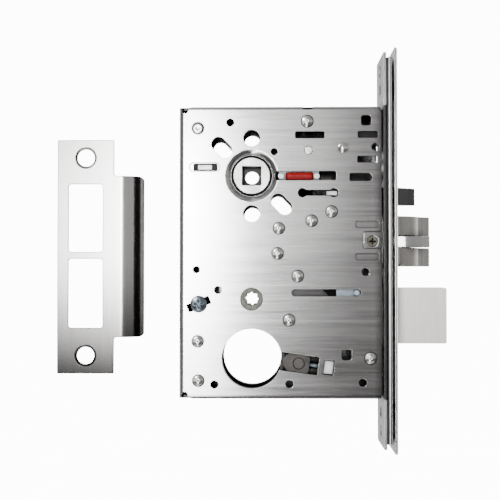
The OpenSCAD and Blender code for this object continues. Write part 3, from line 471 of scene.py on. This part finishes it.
def channel_corner(a, b):
    """Edges of the channel's two long sides that face the armour front."""
    low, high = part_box("front_channel")
    return long_corner(a, low, high) and long_corner(b, low, high)


def armour_corner(a, b):
    """The armour front's two long outer edges."""
    low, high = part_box("armour_front")
    return long_corner(a, low, high) and long_corner(b, low, high)


def turn_rim(a, b):
    """The outer rims of the turn hub."""
    middle = MOUNTS["turn_tailpiece"]["pos_m"]
    low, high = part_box("turn_hub")
    radius = (high.x - low.x) / 2

    def on_rim(v):
        off = math.hypot(v.x - middle[0], v.z - middle[2]) - radius
        return abs(off) < 0.1 * MM and (v.y < low.y + 0.05 * MM or v.y > high.y - 0.05 * MM)

    return on_rim(a) and on_rim(b) and abs(a.y - b.y) < 0.1 * MM


# wide rolls by node: which edges, radius, steps
ROLLS = {"front_channel": (channel_corner, CHANNEL_ROLL, 10),
         "armour_front": (armour_corner, ARMOUR_ROLL, 10), "turn_hub": (turn_rim, 0.5 * MM, 3)}


def sound(bm):
    return all(edge.is_manifold for edge in bm.edges)


def rounded(node, width, segments=2):
    """A node's shape with its sharp edges truly rounded, more narrowly where the full round won't close, and
    plain where none closes.
    """
    bm = welded(node)
    if node in ROLLS:
        roll_edges(bm, *ROLLS[node])
    base = bpy.data.meshes.new(node + "_body")
    bm.to_mesh(base)
    volume = bm.calc_volume()
    bm.free()
    obj = new_object(node + "_body", base)
    base.shade_smooth()
    for share, clamp in ((1.0, False), (0.5, False), (1.0, True)):
        bevel = obj.modifiers.new("round", "BEVEL")
        bevel.width = width * share * MM
        bevel.segments = segments
        bevel.limit_method = "ANGLE"
        bevel.angle_limit = math.radians(33)
        bevel.use_clamp_overlap = clamp
        bevel.miter_outer = "MITER_ARC"
        level = obj.modifiers.new("level", "WEIGHTED_NORMAL")
        level.weight = 100
        level.keep_sharp = True
        mesh = bpy.data.meshes.new_from_object(obj.evaluated_get(bpy.context.evaluated_depsgraph_get()))
        obj.modifiers.clear()
        test = bmesh.new()
        test.from_mesh(mesh)
        good = sound(test) and 0.9 < test.calc_volume() / volume < 1.001
        low = [min(v.co[i] for v in test.verts) for i in range(3)]
        high = [max(v.co[i] for v in test.verts) for i in range(3)]
        was_low, was_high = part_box(node)
        slack = 0.01 * MM
        good = good and all(low[i] > was_low[i] - slack and high[i] < was_high[i] + slack for i in range(3))
        test.free()
        if good:
            break
    print("rounded", node, width * share, "clamped" if clamp else "", "" if good else "kept plain")
    obj.data = mesh if good else base
    if not good:
        shade(obj.data)
    return settle(obj, node)


# width of the rounded edges in millimetres, by node
ROUNDED = {
    "case_pan": 0.4, "case_cover": 0.25, "inner_front": 0.15, "front_channel": 0.15,
    "armour_front": 0.2, "armour_screws": 0.12, "front_brackets": 0.2, "bracket_screws": 0.12,
    "side_lugs": 0.25, "lug_blocks": 0.2, "lug_screws": 0.12, "latch_guide": 0.15, "hub_bushings": 0.12,
    "hub_spacer": 0.1, "hub_stop": 0.2, "near_hub": 0.25, "far_hub": 0.25, "retractor_lever": 0.2,
    "retractor_pivot": 0.12, "latchbolt": 0.35, "latch_tail": 0.15, "latch_tongue": 0.3,
    "tongue_pin": 0.15, "guard_latch": 0.3, "guard_tail": 0.15, "guard_bracket": 0.15,
    "deadlock_lever": 0.12, "deadlock_pivot": 0.5, "deadbolt": 0.4, "deadbolt_tail": 0.2,
    "deadbolt_pins": 0.15, "deadbolt_shoe": 0.25, "detent_spring": 0.1, "turn_hub": 0.2,
    "turn_arm": 0.2, "cylinder_collars": 0.15, "cylinder_clamp": 0.12, "clamp_rivet": 0.08,
    "clamp_block": 0.3, "clamp_screw": 0.1, "locking_slide": 0.2, "red_indicator": 0.15,
    "handing_screw": 0.12, "strike_plate": 0.5,
}


def islands(node):
    """The boxes of a node's separate solids, as (low, high) pairs."""
    bm = bmesh.new()
    bm.from_mesh(NODES[node].data)
    bmesh.ops.remove_doubles(bm, verts=bm.verts, dist=0.002 * MM)
    left, found = set(bm.verts), []
    while left:
        stack, seen = [left.pop()], []
        while stack:
            vert = stack.pop()
            seen.append(vert.co.copy())
            for edge in vert.link_edges:
                other = edge.other_vert(vert)
                if other in left:
                    left.remove(other)
                    stack.append(other)
        found.append((Vector([min(c[i] for c in seen) for i in range(3)]),
                      Vector([max(c[i] for c in seen) for i in range(3)])))
    bm.free()
    return sorted(found, key=lambda pair: tuple(pair[0]))


# share of a spun head's radius beyond which the dark line of painted shade is drawn
RIM_SHADE_FROM = 0.88


def lathe(bm, profile, x, z, steps=48):
    """Adds a solid of revolution round a Y line; profile is (radius, y) from one axis point to the other."""
    rim = bm.verts.layers.float.get("rim") or bm.verts.layers.float.new("rim")
    widest = max(r for r, y in profile)
    rings = []
    for r, y in profile:
        if r < 1e-9:
            rings.append([bm.verts.new((x, y, z))])
            continue
        rings.append([bm.verts.new((x + r * math.cos(a), y, z + r * math.sin(a)))
                      for a in (2 * math.pi * k / steps for k in range(steps))])
        for vert in rings[-1]:
            vert[rim] = 1.0 if r > RIM_SHADE_FROM * widest else 0.0
    for one, two in zip(rings, rings[1:]):
        for k in range(steps):
            n = (k + 1) % steps
            if len(one) == 1:
                bm.faces.new((one[0], two[n], two[k]))
            elif len(two) == 1:
                bm.faces.new((one[k], one[n], two[0]))
            else:
                bm.faces.new((one[k], one[n], two[n], two[k]))


def finish_mesh(bm, name, angle=35.0):
    bmesh.ops.recalc_face_normals(bm, faces=bm.faces)
    mesh = bpy.data.meshes.new(name)
    bm.to_mesh(mesh)
    bm.free()
    shade(mesh, angle)
    return new_object(name, mesh)


# heads of spun rivets as (radius share, height share); a shallow dimple marks the spinning tool's centre
SPUN_HEAD = [(1.0, 0.0), (1.0, 0.10), (0.97, 0.18), (0.90, 0.22), (0.82, 0.26), (0.74, 0.42), (0.60, 0.66),
             (0.44, 0.86), (0.30, 0.97), (0.20, 1.0), (0.13, 0.96), (0.08, 0.80), (0.0, 0.74)]
FLAT_HEAD = [(1.0, 0.0), (1.0, 0.45), (0.97, 0.8), (0.90, 1.0), (0.30, 1.0), (0.24, 0.9), (0.0, 0.85)]


def rivet_heads(head, r, h, y, out):
    """Profile of a head that stands out of a face at y; out is -1 near and +1 far."""
    return [(share * r, y + out * lift * h) for share, lift in head]


def case_posts():
    """Spacer posts: a waist between the plates and a spun head at each end."""
    bm = bmesh.new()
    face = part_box("case_pan")[0].y
    for low, high in islands("case_posts"):
        x, z = (low.x + high.x) / 2, (low.z + high.z) / 2
        h = face - low.y
        head = SPUN_HEAD if h > 0.6 * MM else FLAT_HEAD
        r = (high.x - low.x) / 2
        inner = -face - 1.56 * MM
        near = list(reversed(rivet_heads(head, r, h, face - 0.01 * MM, -1)))
        far = rivet_heads(head, r, h, -face + 0.01 * MM, 1)
        neck, body, lip = 1.6 * MM, 2.5 * MM, 0.25 * MM
        shank = [(neck, face - 0.01 * MM), (neck, -inner), (body - lip, -inner), (body, -inner + lip),
                 (body, -3.2 * MM), (body - lip, -3.0 * MM), (body - lip, 3.0 * MM), (body, 3.2 * MM),
                 (body, inner - lip), (body - lip, inner), (neck, inner), (neck, -face + 0.01 * MM)]
        lathe(bm, near + shank + far, x, z)
    return settle(finish_mesh(bm, "case_posts_spun", 50.0), "case_posts")


def guide_rivets():
    """Short rivets with a spun head outside and an upset collar inside."""
    bm = bmesh.new()
    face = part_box("case_pan")[0].y
    for low, high in islands("guide_rivets"):
        x, z = (low.x + high.x) / 2, (low.z + high.z) / 2
        head = rivet_heads(SPUN_HEAD, (high.x - low.x) / 2, face - low.y, face - 0.01 * MM, -1)
        neck, end = 1.5 * MM, high.y
        collar = [(neck, face - 0.01 * MM), (neck, end - 0.68 * MM), (2.25 * MM, end - 0.68 * MM),
                  (2.4 * MM, end - 0.5 * MM), (2.3 * MM, end - 0.15 * MM), (1.9 * MM, end), (0.0, end)]
        lathe(bm, list(reversed(head)) + collar, x, z)
    return settle(finish_mesh(bm, "guide_rivets_spun", 50.0), "guide_rivets")


def close_tube(bm, rings):
    """Joins rings of points into a closed tube."""
    for one, two in zip(rings, rings[1:]):
        for j in range(len(one)):
            n = (j + 1) % len(one)
            bm.faces.new((one[j], one[n], two[n], two[j]))
    bm.faces.new(rings[0])
    bm.faces.new(rings[-1])


def coil(name, start, end, r, wire, turns, steps=26, sides=10, closed=0.75):
    """Compression spring along X between two points, with close-wound ends."""
    length, count, rings = (end - start).length, int(turns * steps), []
    bm = bmesh.new()
    for i in range(count + 1):
        turn = i / steps
        share = min(max((turn - closed) / (turns - 2 * closed), 0.0), 1.0)
        lead = wire * 2.04 * (min(turn, closed) + max(turn - (turns - closed), 0.0))
        free = length - 2 * wire - wire * 2.04 * 2 * closed
        x = start.x + wire + lead + free * share
        a = 2 * math.pi * turn
        ring = []
        for j in range(sides):
            b = 2 * math.pi * j / sides
            d = r + wire * math.cos(b)
            spot = (x + wire * math.sin(b), start.y + d * math.cos(a), start.z + d * math.sin(a))
            ring.append(bm.verts.new(spot))
        rings.append(ring)
    close_tube(bm, rings)
    return finish_mesh(bm, name, 60.0)


def straight_spring(node, turns, wire, name):
    """A compression spring in the node's place, with a mesh of its own."""
    low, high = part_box(node)
    middle = (low + high) / 2
    start, end = Vector((low.x, middle.y, middle.z)), Vector((high.x, middle.y, middle.z))
    obj = coil(name, start, end, (high.z - low.z) / 2 - wire, wire, turns)
    settle(obj, node)
    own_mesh(obj)
    return obj


def torsion_spring(node, name):
    """Wire wound round a hub's neck, with its two ends bent out."""
    low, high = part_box(node)
    hub_low, hub_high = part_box("near_hub" if high.y < 0 else "far_hub")
    x, z = (hub_low.x + hub_high.x) / 2, MOUNTS["lever_spindle"]["pos_m"][2]
    wire, r, turns, sides, count = 0.5 * MM, 10.6 * MM, 1.6, 10, 64
    y0, y1 = low.y + wire, high.y - wire
    bm, rings = bmesh.new(), []
    for i in range(count + 1):
        t = i / count
        a = 2 * math.pi * turns * t
        flare = 0.9 * MM * (max(0.0, 0.04 - t) + max(0.0, t - 0.96)) / 0.04
        ring = []
        for j in range(sides):
            b = 2 * math.pi * j / sides
            d = r + flare + wire * math.cos(b)
            along = y0 + (y1 - y0) * t + wire * math.sin(b)
            ring.append(bm.verts.new((x + d * math.cos(a), along, z + d * math.sin(a))))
        rings.append(ring)
    close_tube(bm, rings)
    return settle(finish_mesh(bm, name, 60.0), node)


for node in NODES:
    dress(NODES[node], node)
for node, width in ROUNDED.items():
    rounded(node, width)
case_posts()
guide_rivets()
straight_spring("latch_spring", 7, 0.4 * MM, "latch_spring_coil")
straight_spring("guard_spring", 9, 0.4 * MM, "guard_spring_coil")
torsion_spring("near_hub_spring", "near_hub_spring_coil")
torsion_spring("far_hub_spring", "far_hub_spring_coil")


# ---------------------------------------------------------------- studio


def world():
    """A dim room with a bright card left of the viewer, an even one at the right and a white backdrop."""
    made = bpy.data.worlds.new("studio")
    bpy.context.scene.world = made
    made.use_nodes = True
    t = Tree(made.node_tree)
    out = t.add("ShaderNodeOutputWorld")
    way = t.add("ShaderNodeTexCoord")
    split = t.add("ShaderNodeSeparateXYZ")
    t.link(way, "Generated", split, 0)
    # the card is brightest just left of the viewer and fades quickly to the right, and below at the right
    share = t.span(split, "X", 0.35, 1.0, -0.06, -0.01, True)
    fall = t.math("MULTIPLY", t.curve(split, "Z", DOWN), share)
    top = t.math("MULTIPLY", t.curve(split, "Z", TOP), t.math("SUBTRACT", 1.0, share))
    card = t.math("POWER", math.e, t.math("ADD", t.curve(split, "X", ACROSS), t.math("ADD", fall, top)))
    card = t.math("MULTIPLY", card, t.span(split, "Y", 1.0, 0.0, -0.25, 0.0, True))
    # softer light from the far left and above, which catches bevels and domes
    side = t.math("MULTIPLY", t.span(split, "X", SIDE, 0.0, -0.8, -0.2, True),
                  t.span(split, "Y", 1.0, 0.3, 0.0, 0.3))
    above = t.math("MULTIPLY", t.span(split, "Z", 0.0, ABOVE, 0.15, 0.6, True),
                   t.span(split, "X", 1.0, 0.3, -0.3, 0.5))
    card = t.math("ADD", card, t.math("MAXIMUM", side, above))
    # even grey to the right, weaker far above and below
    right = t.math("MULTIPLY", t.span(split, "X", 0.0, RIGHT, 0.105, 0.14, True),
                   t.span(split, "Z", 1.0, 0.2, 0.2, 0.6))
    right = t.math("MULTIPLY", right, t.span(split, "Z", 0.25, 1.0, -0.13, 0.0, True))
    # light from behind on the right, for the rolled edge of the front; less behind on the left
    back = t.math("MULTIPLY", t.span(split, "Y", 0.0, 1.0, 0.25, 0.5, True),
                  t.span(split, "X", BACK[0], BACK[1], -0.2, 0.25))
    room = t.span(split, "Z", ROOM[0], ROOM[1], -0.3, 0.1)
    total = t.math("ADD", t.math("ADD", card, right), t.math("ADD", back, room))
    lit = t.add("ShaderNodeBackground")
    lit.inputs["Color"].default_value = (1.0, 0.995, 0.985, 1.0)
    t.link(total, 0, lit, "Strength")
    seen = t.add("ShaderNodeBackground", Strength=BACKDROP)
    seen.inputs["Color"].default_value = (1.0, 1.0, 1.0, 1.0)
    path = t.add("ShaderNodeLightPath")
    pick = t.add("ShaderNodeMixShader")
    t.link(path, "Is Camera Ray", pick, 0)
    t.link(lit, 0, pick, 1)
    t.link(seen, 0, pick, 2)
    t.link(pick, 0, out, "Surface")


# brightness of the card, as natural logarithms: at directions across (left to right), up (low to high)
# and, for its upper left corner alone, up again; set so that the plates fade as in the photo
ACROSS = [(-1, -4), (-0.5, -3.0), (-0.35, -1.0), (-0.28, 0.6), (-0.21, 1.3), (-0.15, 2.0), (-0.12, 2.9),
          (-0.095, 3.5), (-0.075, 3.3), (-0.06, 2.9), (-0.05, 2.2), (-0.04, 1.2), (-0.025, 0.2),
          (-0.01, -0.3), (0.02, -0.15), (0.045, -0.2), (0.064, -0.8), (0.08, -2.2), (0.1, -3.5),
          (0.14, -4), (1, -4)]
DOWN = [(-1, -4), (-0.25, -4), (-0.17, -4), (-0.12, -3.6), (-0.08, -2.5), (-0.05, -1.7), (-0.028, -0.9),
        (0, -0.1), (0.03, 0.15), (0.07, 0.45), (0.12, 0.4), (0.17, 0.35), (0.3, -0.8), (0.5, -3), (1, -4)]
TOP = [(-1, 0), (0.11, 0), (0.135, -0.2), (0.165, -2.2), (0.2, -3), (1, -4)]
# brightness of the other parts of the studio; BACK is left and right, ROOM below and above
SIDE, ABOVE, RIGHT, BACK, ROOM = 0.12, 0.32, 0.40, (0.6, 1.6), (0.04, 0.10)
# brightness of the white backdrop and of the floor, as the camera sees them
BACKDROP, FLOOR = 13.0, 13.5


def card_light(name, place, aim, width, height, brightness, lit):
    """A rectangular card at a place, facing a way, whose light falls only on the named pieces."""
    data = bpy.data.lights.new(name, "AREA")
    data.shape = "RECTANGLE"
    data.size, data.size_y = width, height
    data.energy = brightness * math.pi * width * height
    obj = bpy.data.objects.new(name, data)
    bpy.context.scene.collection.objects.link(obj)
    obj.location = place
    obj.rotation_mode = "QUATERNION"
    obj.rotation_quaternion = Vector(aim).to_track_quat("-Z", "Y")
    chosen = bpy.data.collections.new(name + "_lit")
    for piece in lit:
        chosen.objects.link(bpy.data.objects[piece])
    obj.light_linking.receiver_collection = chosen


def cards():
    """Cards at the right for the rolled edges of the front, and at the left for small parts and rivets."""
    card_light("edge_card", (0.27, 0.0, 0.0), (-1.0, 0.0, 0.0), 0.16, 0.7, 4.0,
               ("front_channel_body", "armour_front_body"))
    plates = ("case_pan", "case_cover", "inner_front", "front_channel", "armour_front", "strike_plate",
              "deadbolt")
    broad = {name + "_body" for name in plates}
    small = [obj.name for obj in bpy.data.objects if obj.type == "MESH" and obj.name not in broad
             and obj.name not in NODES]
    card_light("key_card", (-0.43, -0.30, 0.36), (0.62, 0.5, -0.6), 0.24, 0.24, 12.0, small)
    card_light("fill_card", (-0.45, -0.50, 0.20), (0.6, 0.75, -0.25), 0.7, 0.9, 0.9,
               ("case_posts_spun", "guide_rivets_spun", "lug_screws_body", "handing_screw_body"))


def floor():
    """Plain white floor well below the lock."""
    near, far, side, level = -0.3, 8.0, 6.0, CAD_BOX[0].z - 0.35
    mesh = bpy.data.meshes.new("floor")
    mesh.from_pydata([(-side, near, level), (side, near, level), (side, far, level), (-side, far, level)], [],
                     [(0, 1, 2, 3)])
    obj = new_object("floor", mesh)
    s = Shader("floor_pale")
    tone = s.mix(s.span(s.noise((6.0, 6.0, 6.0)), 0, 0.0, 1.0), (0.93, 0.93, 0.93), (0.97, 0.97, 0.97))
    s.link(tone, 2, s.surface, "Base Color")
    s.surface.inputs["Roughness"].default_value = 0.9
    s.link(tone, 2, s.surface, "Emission Color")
    path = s.add("ShaderNodeLightPath")
    s.link(s.span(path, "Is Camera Ray", 0.15, FLOOR, 0.0, 1.0), 0, s.surface, "Emission Strength")
    mesh.materials.append(s.material)


def camera():
    """Camera at the photo's viewing angle, a little left of and below the lock's middle."""
    data = bpy.data.cameras.new("camera")
    data.sensor_width = 36.0
    data.lens = 71.96
    obj = bpy.data.objects.new("camera", data)
    bpy.context.scene.collection.objects.link(obj)
    obj.location = (-0.0630, -0.5148, -0.0106)
    yaw, pitch = math.radians(-1.236), math.radians(1.230)
    forward = Vector((math.sin(yaw) * math.cos(pitch), math.cos(yaw) * math.cos(pitch), math.sin(pitch)))
    obj.rotation_mode = "QUATERNION"
    obj.rotation_quaternion = forward.to_track_quat("-Z", "Y")
    bpy.context.scene.camera = obj


world()
cards()
floor()
camera()
